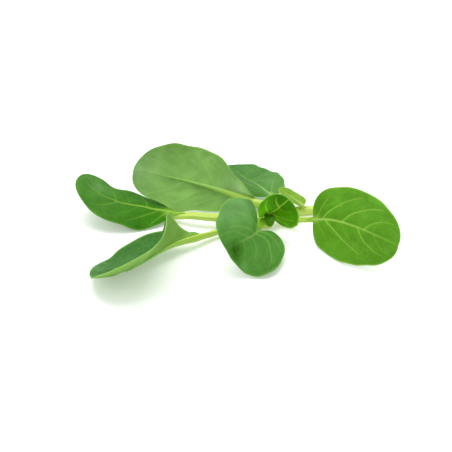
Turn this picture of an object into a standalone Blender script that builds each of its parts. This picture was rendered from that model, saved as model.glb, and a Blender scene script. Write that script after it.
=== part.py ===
"""A young tatsoi plant, picked whole and lying loosely on a flat surface.

Eight spoon-shaped leaves and one small bud leaf spread from the crown of a
short pale stem. Each leaf is a green blade carried by a pale stalk, which
runs on under the blade as its midrib. X is to the right, Y goes back and Z
is up. The origin is on the surface, under the stem, which rests there on a
narrow flat. The leaf table is in millimetres and degrees, and the model is
in metres.
"""
from math import pi

import bmesh
import bpy
import numpy as np

MM = 0.001

BLADE_THICKNESS = 0.7
RIB_CLEARANCE = 0.35        # between a blade's underside and the rib below it
BLADE_ROWS = 15             # points from a blade's base to its tip
HALF_COLUMNS = 4            # steps from the midrib to one edge
BASE_HALF_WIDTH = 1.2       # where a blade's sheet begins
TIP_HALF_WIDTH = 1.4        # where it ends
STALK_RINGS = 6             # from the root to the blade
RIB_RINGS = 9               # and from there on to the rib's end
STALK_SIDES = 8
RIB_END = 0.72              # the rib fades out at this share of the blade
RIB_END_SIZE = 0.35         # and is this share of the stalk's width there
STALK_SINK = 9.0            # over this length the stalk dips under the blade

STEM_SIDES = 16
# Middle of the stem, from its cut end to the growing tip, and its radius there.
STEM_LINE = [(10.0, 1.0, 2.4), (0.0, 0.0, 2.3), (-6.0, -4.0, 4.0), (-11.0, -10.0, 6.2), (-16.2, -15.2, 8.0)]
STEM_RADIUS = [2.5, 2.6, 2.6, 3.1, 3.0]

# heading: compass turn of the midrib from +X, counterclockwise from above; pitch: its rise above level;
# roll: how far the blade's left side is turned up. Each is given at the root, blade base, mid-blade and tip.
# fold: how far each half bends up from the midrib, at the base, middle and tip. curl: its further bend
# towards the edge. base_round and tip_round: 0.5 is a round end, more is a narrower one. A side with a tip
# unlike the other side's has a tip_round of its own.
# wave: height of the edge's waves, how many there are along it, and where they begin.
LEAVES = {
    "far_left": dict(
        root=(-19.6, -12.9, 6.4), stalk=49.5, blade=54.5, stalk_width=4.0, left_width=19, right_width=18,
        heading=(189, 161, 171, 145), pitch=(0, 0, 11, 48), roll=(-2, -2, 0, 6),
        left_fold=(-14, 4, 12), right_fold=(-8, 3, 4), left_curl=-18, right_curl=-24,
        base_round=0.5, tip_round=0.48, right_tip_round=0.46, wave=(0.6, 2.5, 40)),
    "front_left": dict(
        root=(-15.1, -18.2, 4.7), stalk=45.8, blade=66.3, stalk_width=3.6, left_width=27.9, right_width=25.4,
        heading=(175, 221, 230, 205), pitch=(-7.5, 8.3, -1.1, -3.8), roll=(10, 10, 14, 12),
        left_fold=(116, 44, 14), right_fold=(28, -1, -1), left_curl=7, right_curl=0,
        base_round=0.84, tip_round=0.45, wave=(0, 2, 0)),
    "back_left": dict(
        root=(-13.6, -8.1, 9.8), stalk=10, blade=69, stalk_width=3.6, left_width=19.5, right_width=15.5,
        heading=(157, 157, 166, 187), pitch=(9, 6, 9, 17), roll=(70, 83, 117, 106),
        left_fold=(-16, 19, -3), right_fold=(-6, -8, 8), left_curl=-25, right_curl=-22,
        base_round=0.69, tip_round=0.5, right_tip_round=0.36, wave=(0.6, 2.5, 0)),
    "back": dict(
        root=(-9.0, -3.7, 8.2), stalk=10.5, blade=40, stalk_width=3.0, left_width=18, right_width=18,
        heading=(112, 124, 127, 132), pitch=(0, 4, -2, 11), roll=(-2, 7, 12, 6),
        left_fold=(2, 13, 3), right_fold=(4, 9, 1), left_curl=2, right_curl=1,
        base_round=0.5, tip_round=0.5, wave=(0.5, 2.5, 90)),
    "small_back": dict(
        root=(2.9, -2.2, 6.2), stalk=1, blade=15, stalk_width=1.8, left_width=6.4, right_width=6,
        heading=(153, 148, 154, 150), pitch=(30, 26, 25, 23), roll=(0, 3, 10, 0),
        left_fold=(10, 10, 10), right_fold=(17, 9, 19), left_curl=0, right_curl=-2,
        base_round=0.5, tip_round=0.5, wave=(0, 1, 0)),
    "front": dict(
        root=(-19.1, -17.7, 9.7), stalk=17.5, blade=35, stalk_width=2.8, left_width=21.5, right_width=22.5,
        heading=(261, 261, 236, 225), pitch=(10, 9, 9, -14), roll=(-19, -45, -44, -54),
        left_fold=(23, 1, -21), right_fold=(25, 0, -14), left_curl=6, right_curl=6,
        base_round=0.58, tip_round=0.59, wave=(0.5, 2, 60)),
    "centre": dict(
        root=(-17.1, -19.2, 11.5), stalk=1, blade=16.4, stalk_width=1.6, left_width=13.6, right_width=13.4,
        heading=(-62, -52, -29, 5), pitch=(36, 36, 48, 43), roll=(106, 102, 88, 70),
        left_fold=(70, 42, 13), right_fold=(-4, -4, -6), left_curl=31, right_curl=-10,
        base_round=0.47, tip_round=0.49, wave=(0, 1, 0)),
    "right": dict(
        root=(-7.7, -12.9, 4.2), stalk=18.5, blade=61.5, stalk_width=3.2, left_width=18.5, right_width=19.5,
        heading=(-21, -46, -48, -48), pitch=(12, 24, 7, 0), roll=(49, 55, 61, 65),
        left_fold=(18, 2, -11), right_fold=(-1, -1, -13), left_curl=9, right_curl=-7,
        base_round=0.39, tip_round=0.47, wave=(0.4, 2.5, 20)),
    "bud": dict(
        root=(-16.7, -18.8, 7.6), stalk=1.5, blade=8.5, stalk_width=1.4, left_width=2.3, right_width=2.3,
        heading=(262, 262, 264, 266), pitch=(-4, -3, 0, 6), roll=(-12, -12, -12, -12),
        left_fold=(20, 20, 20), right_fold=(20, 20, 20), left_curl=10, right_curl=10,
        base_round=0.6, tip_round=0.6, wave=(0, 1, 0)),
}

# Colours are linear red, green and blue.
LEAF_GREENS = {
    "far_left": (0.06, 0.20, 0.015), "front_left": (0.05, 0.14, 0.03), "back_left": (0.14, 0.29, 0.05),
    "back": (0.09, 0.24, 0.06), "small_back": (0.18, 0.35, 0.05), "front": (0.08, 0.22, 0.04),
    "centre": (0.05, 0.19, 0.01), "right": (0.10, 0.27, 0.02), "bud": (0.02, 0.08, 0.005)}
STALK_GREEN = (0.45, 0.62, 0.13)
STEM_GREEN = (0.52, 0.68, 0.22)


def through(knots, values, at):
    """A smooth cubic curve through the values at the knots, with slopes taken from their neighbours."""
    knots = np.asarray(knots, float)
    values = np.asarray(values, float)
    slope = np.gradient(values, knots)
    i = np.clip(np.searchsorted(knots, at, side="right") - 1, 0, len(knots) - 2)
    length = knots[i + 1] - knots[i]
    x = (at - knots[i]) / length
    start = (1 + 2 * x) * (1 - x) ** 2 * values[i] + x * (1 - x) ** 2 * length * slope[i]
    end = x * x * (3 - 2 * x) * values[i + 1] + x * x * (x - 1) * length * slope[i + 1]
    return start + end


def midrib(leaf, distance):
    """Points of a leaf's middle line at these distances from its root, and its left and upper directions."""
    fine = np.linspace(0, leaf["stalk"] + leaf["blade"], 200)
    knots = [0, leaf["stalk"], leaf["stalk"] + leaf["blade"] / 2, leaf["stalk"] + leaf["blade"]]
    heading, pitch, roll = [np.radians(through(knots, leaf[name], fine)) for name in ("heading", "pitch", "roll")]
    along = np.stack([np.cos(pitch) * np.cos(heading), np.cos(pitch) * np.sin(heading), np.sin(pitch)], -1)
    level = np.stack([-np.sin(heading), np.cos(heading), np.zeros_like(heading)], -1)
    raised = np.cross(along, level)
    turn, lift = np.cos(roll)[:, None], np.sin(roll)[:, None]
    left, up = turn * level + lift * raised, turn * raised - lift * level
    steps = (along[1:] + along[:-1]) / 2 * np.diff(fine)[:, None]
    points = np.array(leaf["root"]) + np.vstack([np.zeros(3), np.cumsum(steps, axis=0)])
    return [np.stack([np.interp(distance, fine, table[:, k]) for k in range(3)], -1) for table in (points, left, up)]


def half_width(leaf, side, share):
    """Half-width of a blade at a share of its length: share^base_round * (1-share)^tip_round, scaled."""
    a, b = leaf["base_round"], leaf.get(side + "_tip_round", leaf["tip_round"])
    widest = a / (a + b)
    return leaf[side + "_width"] * (share / widest) ** a * ((1 - share) / (1 - widest)) ** b


def blade_rows(leaf):
    """Shares of the blade's length for its rows, closer together near its two round ends."""
    a, b = leaf["base_round"], leaf["tip_round"]
    width = min(leaf["left_width"], leaf["right_width"])
    widest = a / (a + b)
    scale = width / (widest ** a * (1 - widest) ** b)
    first = (BASE_HALF_WIDTH / scale) ** (1 / a)
    last = 1 - (TIP_HALF_WIDTH / scale) ** (1 / b)
    from_turn, to_turn = np.arccos(1 - 2 * first), np.arccos(1 - 2 * last)
    return (1 - np.cos(np.linspace(from_turn, to_turn, BLADE_ROWS))) / 2


def half_blade(leaf, side, share, middle, outward, up):
    """Grid of points from the midrib to one edge: each row leaves at its fold angle and curls on outward."""
    fold = np.radians(through([0, 0.5, 1], leaf[side + "_fold"], share))
    across = np.linspace(0, 1, HALF_COLUMNS + 1)
    angle = fold[:, None] + np.radians(leaf[side + "_curl"]) * across
    step = half_width(leaf, side, share)[:, None] / HALF_COLUMNS
    reach = np.pad(np.cumsum((np.cos(angle[:, 1:]) + np.cos(angle[:, :-1])) / 2 * step, axis=1), ((0, 0), (1, 0)))
    rise = np.pad(np.cumsum((np.sin(angle[:, 1:]) + np.sin(angle[:, :-1])) / 2 * step, axis=1), ((0, 0), (1, 0)))
    height, waves, begin = leaf["wave"]
    swing = np.sin(2 * pi * waves * share + np.radians(begin))
    rise = rise + height * swing[:, None] * across ** 3
    return middle[:, None] + reach[..., None] * outward[:, None] + rise[..., None] * up[:, None]


def material(name, colour):
    """Plant skin: a little gloss from its wax, and no metal."""
    skin = bpy.data.materials.new(name)
    skin.use_nodes = True
    shader = skin.node_tree.nodes["Principled BSDF"]
    shader.inputs["Base Color"].default_value = (*colour, 1)
    shader.inputs["Roughness"].default_value = 0.45
    shader.inputs["Metallic"].default_value = 0
    return skin


def new_object(name, points, faces, colour):
    mesh = bpy.data.meshes.new(name)
    mesh.from_pydata([tuple(point * MM) for point in points], [], faces)
    part = bpy.data.objects.new(name, mesh)
    bpy.context.scene.collection.objects.link(part)
    mesh.materials.append(material(name, colour))
    mesh.shade_smooth()
    return part


def add_blade(name, leaf):
    """A sheet of triangles through the middle of the blade, given its thickness by a Solidify."""
    share = blade_rows(leaf)
    middle, left, up = midrib(leaf, leaf["stalk"] + share * leaf["blade"])
    left_half = half_blade(leaf, "left", share, middle, left, up)
    right_half = half_blade(leaf, "right", share, middle, -left, up)
    grid = np.concatenate([right_half[:, ::-1], left_half[:, 1:]], axis=1)
    columns = grid.shape[1]
    faces = []
    for row in range(BLADE_ROWS - 1):
        for column in range(columns - 1):
            a = row * columns + column
            b, c, d = a + 1, a + columns + 1, a + columns
            faces += [(a, d, b), (b, d, c)] if column < HALF_COLUMNS else [(a, c, b), (a, d, c)]
    blade = new_object(name + "_blade", grid.reshape(-1, 3), faces, LEAF_GREENS[name])
    solid = blade.modifiers.new("Thickness", "SOLIDIFY")
    solid.thickness = BLADE_THICKNESS * MM
    solid.offset = 0
    solid.use_even_offset = True


def closed_tube(name, rings, colour):
    """A skin over rings of points, with a flat face closing each end."""
    count, sides = rings.shape[:2]
    faces = [tuple(range(sides)), tuple(range(count * sides - 1, (count - 1) * sides - 1, -1))]
    for ring in range(count - 1):
        for side in range(sides):
            a, b = ring * sides + side, ring * sides + (side + 1) % sides
            faces.append((a, b, b + sides, a + sides))
    tube = new_object(name, rings.reshape(-1, 3), faces, colour)
    shape = bmesh.new()
    shape.from_mesh(tube.data)
    bmesh.ops.recalc_face_normals(shape, faces=shape.faces)
    shape.to_mesh(tube.data)
    shape.free()
    tube.data.set_sharp_from_angle(angle=pi / 3)


def add_stalk(name, leaf):
    """Stalk and rib: a half-round bar with a roofed top, which dips under the blade and tapers to its tip."""
    stalk, blade = leaf["stalk"], leaf["blade"]
    end = stalk + RIB_END * blade
    distance = np.concatenate([np.linspace(0, stalk, STALK_RINGS), np.linspace(stalk, end, RIB_RINGS)[1:]])
    middle, left, up = midrib(leaf, distance)
    size = np.interp(distance, [0, stalk, end], [1, 0.9, RIB_END_SIZE]) * leaf["stalk_width"] / 2
    share = np.clip((distance - stalk) / blade, 0, 1)
    folds = np.radians([through([0, 0.5, 1], leaf[side + "_fold"], share) for side in ("left", "right")])
    raised_v = np.clip(folds.sum(axis=0) / 2, 0, 1.1)
    droop = np.clip(-folds.min(axis=0), 0, 0.7)
    under = BLADE_THICKNESS / 2 / np.cos(raised_v) + 0.7 * size * np.tan(droop) + RIB_CLEARANCE
    sink = np.clip((distance - stalk + STALK_SINK) / STALK_SINK, 0, 1)
    sink = sink * sink * (3 - 2 * sink)
    top = (1 - sink) * size * 0.6 - sink * under
    turn = np.linspace(0, 2 * pi, STALK_SIDES, endpoint=False)
    across, height = np.cos(turn), np.sin(turn)
    height = np.where(height > 0, height * 0.5, height * 1.1) - 0.5
    ring_across = size[:, None] * across
    ring_up = top[:, None] + size[:, None] * height
    rings = middle[:, None] + ring_across[..., None] * left[:, None] + ring_up[..., None] * up[:, None]
    closed_tube(name + "_stalk", rings, STALK_GREEN)


def add_stem():
    """The stem: round rings along its line, flat where it rests, cut square at one end and domed at the other."""
    line, radius = np.array(STEM_LINE), np.array(STEM_RADIUS)
    knots = np.concatenate([[0], np.cumsum(np.linalg.norm(np.diff(line, axis=0), axis=1))])
    at = np.linspace(0, knots[-1], 13)
    middle = np.stack([through(knots, line[:, k], at) for k in range(3)], -1)
    size = through(knots, radius, at)
    along = np.gradient(middle, at, axis=0)
    along /= np.linalg.norm(along, axis=1)[:, None]
    dome = np.radians([30, 55, 78])
    tip = middle[-1] + size[-1] * np.sin(dome)[:, None] * along[-1]
    middle = np.vstack([middle, tip])
    size = np.concatenate([size, size[-1] * np.cos(dome)])
    along = np.vstack([along, np.repeat(along[-1:], 3, axis=0)])
    side = np.cross(along, (0, 0, 1))
    side /= np.linalg.norm(side, axis=1)[:, None]
    up = np.cross(side, along)
    turn = np.linspace(0, 2 * pi, STEM_SIDES, endpoint=False) + pi / STEM_SIDES
    ring = np.cos(turn)[:, None] * side[:, None] + np.sin(turn)[:, None] * up[:, None]
    rings = middle[:, None] + size[:, None, None] * ring
    rings[..., 2] = np.maximum(rings[..., 2], 0)
    closed_tube("stem", rings, STEM_GREEN)


def build():
    for old in list(bpy.data.objects):
        bpy.data.objects.remove(old)
    add_stem()
    for name, leaf in LEAVES.items():
        add_stalk(name, leaf)
        add_blade(name, leaf)


build()
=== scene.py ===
# %% [markdown]
# # A young tatsoi plant, dressed leaf by leaf
# A young tatsoi is a loose bunch of spoon-shaped leaves on pale, juicy stalks. Here it lies on a glossy white
# table. The solid model gives the size and place of every leaf, and this lesson gives each one its skin: a thin
# blade with veins and a rim, a ridged stalk and a waxy finish. The solid model is loaded first.

# %% Load the solid model
from math import pi

import bpy
import numpy as np
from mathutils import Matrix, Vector


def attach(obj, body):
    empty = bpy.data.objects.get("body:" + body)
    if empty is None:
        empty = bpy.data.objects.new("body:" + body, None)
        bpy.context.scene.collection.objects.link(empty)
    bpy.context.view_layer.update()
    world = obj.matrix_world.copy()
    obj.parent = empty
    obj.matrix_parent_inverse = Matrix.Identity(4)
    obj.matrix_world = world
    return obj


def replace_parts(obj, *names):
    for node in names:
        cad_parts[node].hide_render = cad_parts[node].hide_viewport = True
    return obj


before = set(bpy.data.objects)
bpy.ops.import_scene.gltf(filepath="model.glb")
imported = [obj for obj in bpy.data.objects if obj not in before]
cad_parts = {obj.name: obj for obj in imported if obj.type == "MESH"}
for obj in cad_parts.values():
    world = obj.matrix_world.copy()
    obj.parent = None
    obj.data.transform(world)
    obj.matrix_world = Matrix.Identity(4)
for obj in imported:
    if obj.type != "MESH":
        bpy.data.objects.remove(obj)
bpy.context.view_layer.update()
scene = bpy.context.scene

# %% [markdown]
# ## The leaf's own coordinates
# A leaf is easiest to describe along its middle line: how far along it we are, how far out to the side, and how
# high above it. The middle line bends through four headings, pitches and rolls, given at the root, at the start
# of the blade, half-way along it and at its tip. A smooth curve through those four gives a direction at each
# point, and adding up small steps in that direction gives the line. All lengths are in millimetres.

# %% A smooth curve through a few values
MM = 0.001


def through(knots, values, at):
    """A cubic curve through the values at the knots. Its slope at a knot comes from the knots on either side."""
    knots, values = np.asarray(knots, float), np.asarray(values, float)
    slope = np.gradient(values, knots)
    i = np.clip(np.searchsorted(knots, at, side="right") - 1, 0, len(knots) - 2)
    length = knots[i + 1] - knots[i]
    x = (at - knots[i]) / length
    start = (1 + 2 * x) * (1 - x) ** 2 * values[i] + x * (1 - x) ** 2 * length * slope[i]
    end = x * x * (3 - 2 * x) * values[i + 1] + x * x * (x - 1) * length * slope[i + 1]
    return start + end


def smooth(x):
    """Goes from 0 to 1 as x does, level at both ends: 3 x squared less 2 x cubed."""
    x = np.clip(x, 0, 1)
    return x * x * (3 - 2 * x)


# %% The middle line of a leaf
LINE_POINTS = 400  # points at which a leaf's direction is worked out


def middle_line(leaf, distance):
    """Points at these distances from the leaf's root, with its left and upper directions there.
    Each point is the sum of all the small steps before it, and a step points along heading and pitch."""
    fine = np.linspace(0, leaf["stalk"] + leaf["blade"], LINE_POINTS)
    knots = [0, leaf["stalk"], leaf["stalk"] + leaf["blade"] / 2, leaf["stalk"] + leaf["blade"]]
    heading, pitch, roll = [np.radians(through(knots, leaf[name], fine)) for name in ("heading", "pitch", "roll")]
    along = np.stack([np.cos(pitch) * np.cos(heading), np.cos(pitch) * np.sin(heading), np.sin(pitch)], -1)
    level = np.stack([-np.sin(heading), np.cos(heading), np.zeros_like(heading)], -1)
    raised = np.cross(along, level)
    turn, lift = np.cos(roll)[:, None], np.sin(roll)[:, None]
    left, up = turn * level + lift * raised, turn * raised - lift * level
    steps = (along[1:] + along[:-1]) / 2 * np.diff(fine)[:, None]
    points = np.array(leaf["root"]) + np.vstack([np.zeros(3), np.cumsum(steps, axis=0)])
    return [np.stack([np.interp(distance, fine, table[:, k]) for k in range(3)], -1) for table in (points, left, up)]


# %% [markdown]
# ## The outline of a blade
# A spoon-shaped blade is round at both ends. Half its width can be written as a power of the distance from its
# base times a power of the distance from its tip. Powers near a half give round ends, and larger ones give
# narrower ends. A real edge is never quite even, so a few slow waves are added, and single bumps or notches where
# the plant has them. Behind the base, two narrow wings run back down the stalk, so the blade grows out of it with
# no step.

# %% Half-width of a blade
EDGE_WAVES = np.arange(3, 12)[:, None]  # half waves along an uneven edge


def half_width(leaf, side, share):
    """share^base_round times (1 - share)^tip_round, scaled to the leaf's width, with sine waves, with bumps as bell
    curves, and with the wings added at the base. A side may have a roundness of its own."""
    a = leaf.get(side + "_base_round", leaf["base_round"])
    b = leaf.get(side + "_tip_round", leaf["tip_round"])
    widest, inside = a / (a + b), np.clip(share, 0, 1)
    plain = leaf[side + "_width"] * (inside / widest) ** a * ((1 - inside) / (1 - widest)) ** b
    rough = np.random.default_rng(leaf["seed"] + (side == "left"))
    begin = rough.uniform(0, 2 * pi, EDGE_WAVES.shape)
    waves = (leaf["ragged"] * np.sin(pi * EDGE_WAVES * inside + begin) / np.sqrt(EDGE_WAVES)).sum(axis=0)
    wing_length, wing_share = leaf["wing"]
    behind = smooth(1 + np.minimum(share, 0) * leaf["blade"] / wing_length)
    wing = wing_share * leaf["stalk_width"] / 2 * behind * np.sqrt(1 - inside)
    bumps = sum((high * np.exp(-((share - at) * leaf["blade"] / size) ** 2)
                 for at, high, size in leaf[side + "_bumps"]), 0)
    return np.sqrt(np.maximum(plain * (1 + waves) + bumps * (share > 0), 0) ** 2 + wing ** 2)


# %% [markdown]
# ## The sheet
# The blade's middle sheet is a grid of points. One number runs from the base to the tip, and the other from the
# midrib to the edge. Each row leaves the midrib at its own fold angle and curls on towards the edge, so a row is
# found by adding up short steps whose direction turns as it goes. The fold is rounded near the midrib. On a leaf
# with lobes, the rows near the base bend back, so the two halves reach behind the point where the stalk comes in.

# %% One half of the sheet
STEP = 0.4  # spacing of the points, fine enough for veins half a millimetre wide
CREASE = 1.6  # over this distance from the midrib the fold is rounded,
CREASE_START = 0.35  # from this share of its smooth turn on
LOBE_TURN = 4.5  # over this distance from the midrib the rows of a lobe bend back,
LOBE_FADES = 0.6  # and from this share of the blade on they no longer do
WAVE_RISE = 8  # the margin's wave has its full height from 1/8 of the blade on


def bent_back(leaf, share, out):
    """How far back a point moves that lies this far out in mm (positive to the left): the lobe's length times
    1 - exp(-(out / LOBE_TURN)^2), dying away along the blade."""
    lobe = np.where(out > 0, leaf["left_lobe"], leaf["right_lobe"])
    return lobe * (1 - np.exp(-(out / LOBE_TURN) ** 2)) * (1 - smooth(share / LOBE_FADES)) * (share > 0)


def fold_at(leaf, side, share):
    """The fold of one half in radians: a smooth curve through its values at the base, half-way and at the tip."""
    return np.radians(through([0, 0.5, 1], leaf[side + "_fold"], share))


def added_up(values, steps):
    """The running sum, from 0, of each step times the mean of the values at its two ends."""
    return np.pad(np.cumsum((values[:, 1:] + values[:, :-1]) / 2 * steps, axis=1), ((0, 0), (1, 0)))


def half_sheet(leaf, side, share, across, middle, left, up):
    """Point = middle + reach * outward + rise * up. Reach and rise add up the cosine and sine of the row's angle,
    which is the fold, smoothly over the crease, plus the curl times the share of the way out, plus the margin's turn
    beyond its inner line. A sine wave along the margin adds to the rise."""
    sign = 1 if side == "left" else -1
    width = half_width(leaf, side, share)[:, None]
    fold = fold_at(leaf, side, np.maximum(share, 0))[:, None]
    open_up = smooth(1 + share * leaf["blade"] / leaf["wing"][0])[:, None]
    crease = smooth(CREASE_START + across * width / CREASE)
    angle = fold * open_up * crease + np.radians(leaf[side + "_curl"]) * across
    turned, inner, begins, full = leaf[side + "_margin"]
    angle = angle + np.radians(turned) * smooth((share - begins) / (full - begins))[:, None] * smooth(
        (across - inner) / (1 - inner))
    steps = np.diff(across) * width
    reach, rise = added_up(np.cos(angle), steps), added_up(np.sin(angle), steps)
    height, waves, begin = leaf["wave"]
    swing = height * np.sin(2 * pi * waves * share + np.radians(begin)) * np.clip(share * WAVE_RISE, 0, 1)
    rise = rise + swing[:, None] * across ** 3
    back = bent_back(leaf, share[:, None], sign * across * width)
    start = middle[:, None] - back[..., None] * np.cross(left, up)[:, None]
    return start + sign * reach[..., None] * left[:, None] + rise[..., None] * up[:, None]


# %% [markdown]
# ## Veins
# A tatsoi's midrib is broad and pale where the stalk enters, and thins to nothing at the tip. Side veins leave it
# in pairs, arch forwards and join each other in loops before they reach the edge. Each side vein is given by
# where it starts, where it ends, how far out it ends and how strong it is, and the loops follow from those. The
# veins are laid out on the flat leaf, and how far every point is from them serves both shape and colour.

# %% Lay out the veins of a blade
ARCH = 1.4  # above 1, a side vein runs out first and forwards later
VEIN_START = 0.30  # half-width of a side vein at the midrib, in mm,
VEIN_END = 0.14  # and at its end, and all along a loop or fork
VEIN_FADES = 0.45  # share of its strength that a side vein loses on the way
LOOP_MEETS = 0.62  # how far along the next side vein a loop joins it
LOOP_BOW = 0.09  # how far a loop bows out, as a share of the half-width
FORK = 8  # the one of its 16 points at which a side vein forks
FORK_LAGS, FORK_LEADS = 0.55, 0.07  # a fork goes less far out and further forwards


def vein_lines(leaf):
    """For each vein: points on the flat leaf in mm, its half-width there and how strongly it shows. A side vein is
    at share = start + (end - start) * t^ARCH and across = out * t, and loops and forks follow from those."""
    t = np.linspace(0, 1, 16)
    lines = []
    for side, sign in (("left", 1), ("right", -1)):
        drawn = [(start + (end - start) * t ** ARCH, out * t, strength)
                 for start, end, out, strength in leaf[side + "_veins"]]
        for (share, across, strength), later in zip(drawn, drawn[1:] + [None]):
            wide = VEIN_START - (VEIN_START - VEIN_END) * t
            lines.append((sign, share, across, wide, strength * (1 - VEIN_FADES * t)))
            if later:
                at = np.interp(LOOP_MEETS, t, later[0]), np.interp(LOOP_MEETS, t, later[1])
                loop_share = share[-1] + (at[0] - share[-1]) * t
                loop_across = across[-1] + (at[1] - across[-1]) * t + LOOP_BOW * np.sin(pi * t)
                lines.append((sign, loop_share, loop_across, VEIN_END + 0 * t, leaf["loops"] + 0 * t))
            late = t[FORK:]
            part = (late - t[FORK]) / (1 - t[FORK])
            turned = np.clip(across[FORK] + FORK_LAGS * (across[-1] - across[FORK]) * part, 0, 0.9)
            ahead = share[FORK] + (share[-1] - share[FORK] + FORK_LEADS) * part
            lines.append((sign, ahead, turned, VEIN_END + 0 * late, leaf["loops"] * (1 - 0.4 * late)))
    flat = []
    for sign, share, across, wide, strong in lines:
        side = "left" if sign > 0 else "right"
        out = sign * across * half_width(leaf, side, share)
        flat.append((np.stack([share * leaf["blade"] - bent_back(leaf, share, out), out], -1), wide, strong))
    return flat


# %% How far each point is from the veins
VEIN_SPREADS, VEIN_BLUR = 1.15, 0.12  # a vein shows this much wider than it is: times, and plus mm


def vein_field(leaf, flat_points):
    """How strongly a vein shows at each flat point, and the distance to the nearest one in mm. The nearest point of
    each short piece of vein is found, and the vein fades as a bell curve of that distance over its half-width."""
    shows, nearest = np.zeros(len(flat_points)), np.full(len(flat_points), np.inf)
    for points, wide, strong in vein_lines(leaf):
        start, piece = points[:-1], np.diff(points, axis=0)
        offset = flat_points[:, None] - start
        share = np.clip((offset * piece).sum(-1) / (piece ** 2).sum(-1), 0, 1)
        distance = np.linalg.norm(offset - share[..., None] * piece, axis=-1)
        best = distance.argmin(axis=1)
        row = np.arange(len(flat_points))
        share, distance = share[row, best], distance[row, best]
        half = wide[best] + (wide[best + 1] - wide[best]) * share
        weight = strong[best] + (strong[best + 1] - strong[best]) * share
        half = leaf["vein_width"] * (VEIN_SPREADS * half + VEIN_BLUR)
        shows = np.maximum(shows, weight * np.exp(-(distance / half) ** 2))
        nearest = np.minimum(nearest, distance)
    return shows, nearest


# %% [markdown]
# ## From sheet to skin
# A leaf blade is about half a millimetre thick and thins towards its edge. Between its veins the skin puffs up a
# little. Veins are shallow grooves from above and raised ridges from below. We move the sheet's points along
# their normals to make an upper and a lower skin, and close them with a rounded rim, so the blade is one closed
# shell with a different relief on each side.

# %% Put a surface into a mesh
FLAT_UNIT = 0.01  # one unit of the flat map is 100 mm


def new_mesh(name, points, faces, attributes, flat):
    """A mesh object from arrays of points in mm, of faces and of one value a point, with a map of flat places."""
    mesh = bpy.data.meshes.new(name)
    mesh.vertices.add(len(points))
    mesh.vertices.foreach_set("co", (points * MM).astype(np.float32).ravel())
    mesh.loops.add(faces.size)
    mesh.loops.foreach_set("vertex_index", faces.astype(np.int32).ravel())
    mesh.polygons.add(len(faces))
    mesh.polygons.foreach_set("loop_start", np.arange(0, faces.size, faces.shape[1], dtype=np.int32))
    mesh.update(calc_edges=True)
    mesh.validate()
    for key, values in attributes.items():
        mesh.attributes.new(key, "FLOAT", "POINT").data.foreach_set("value", values.astype(np.float32).ravel())
    flat_map = mesh.uv_layers.new(name="flat")
    flat_map.data.foreach_set("uv", (flat[faces.ravel()] * FLAT_UNIT).astype(np.float32).ravel())
    mesh.shade_smooth()
    piece = bpy.data.objects.new(name, mesh)
    scene.collection.objects.link(piece)
    return piece


# %% Rows and columns of a blade
TIP_HALF_WIDTH = 0.35  # where a blade's grid ends
FIRST_TURN = 0.02  # and where it begins, as an angle of the cosine
ROWS_PER_STEP, WING_ROWS = 1.25, 15
STALK_FACE = 0.54  # height of a stalk's face over its middle line, per half-width
WING_DIP = 0.3  # a wing's end lies this deep in the face,
WING_DIP_OVER = 4  # from this far behind the blade on, in mm


def sheet_points(leaf):
    """The middle sheet as a grid. Rows stand closer together at the two round ends, as a cosine does, and columns go
    from the right edge, at -1, to the left one, at 1. Returned with it are each point's place on the flat leaf and
    its distance from the edge, in mm."""
    a, b = leaf["base_round"], leaf["tip_round"]
    widest = a / (a + b)
    scale = min(leaf["left_width"], leaf["right_width"]) / (widest ** a * (1 - widest) ** b)
    last = 1 - (TIP_HALF_WIDTH / scale) ** (1 / b)
    rows = int(ROWS_PER_STEP * leaf["blade"] / STEP)
    share = (1 - np.cos(np.linspace(FIRST_TURN, np.arccos(1 - 2 * last), rows))) / 2
    share = np.concatenate([np.linspace(-leaf["wing"][0] / leaf["blade"], 0, WING_ROWS + 1)[:-1], share])
    middle, left, up = middle_line(leaf, np.maximum(leaf["stalk"] + share * leaf["blade"], 0))
    sunk = smooth(1 + np.minimum(share, 0) * leaf["blade"] / leaf["sink"])
    on_stalk = (1 - sunk) * leaf["stalk_width"] / 2 * STALK_FACE - WING_DIP * (
        1 - smooth(1 + share * leaf["blade"] / WING_DIP_OVER))
    middle = middle + np.where(share < 0, on_stalk, 0)[:, None] * up
    across = np.linspace(0, 1, int(max(leaf["left_width"], leaf["right_width"]) / STEP) + 1)
    left_half = half_sheet(leaf, "left", share, across, middle, left, up)
    right_half = half_sheet(leaf, "right", share, across, middle, left, up)
    sheet = np.concatenate([right_half[:, ::-1], left_half[:, 1:]], axis=1)
    across = np.concatenate([-across[::-1], across[1:]])
    right_width, left_width = [half_width(leaf, side, share)[:, None] for side in ("right", "left")]
    width = np.where(across < 0, right_width, left_width)
    out = across * width
    flat = np.stack([(share * leaf["blade"])[:, None] - bent_back(leaf, share[:, None], out), out], -1)
    edge = np.minimum((1 - np.abs(across)) * width, (share[-1] - share)[:, None] * leaf["blade"] + 0.3)
    return share, across, sheet, flat, edge


# %% The relief of a blade
THICKNESS, EDGE_THICKNESS = 0.5, 0.28
THINS_OVER = 3  # mm from the edge over which the blade thins
PUFF_OVER = 2.6  # mm from a vein over which the skin puffs up
SLOW_WAVES = (17, 0.5), (9, 0.22)  # length in mm and height as a share of the puff
GROOVE, RIDGE = 0.10, 0.16  # a vein's depth from above and height below, in mm
RIB_GROOVE, RIB_RIDGE = 0.16, 0.4  # and the midrib's
PALE_FAN = 0.8  # share of the vein's colour where the stalk spreads into the blade


def spots(leaf, share, out, table):
    """The sum of bell curves on the flat leaf, each given by share, mm out, size in mm and height."""
    along = share[:, None] * leaf["blade"]
    return sum((high * np.exp(-((along - at * leaf["blade"]) ** 2 + (out - at_out) ** 2) / size ** 2)
                for at, at_out, size, high in table), 0 * out)


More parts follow.
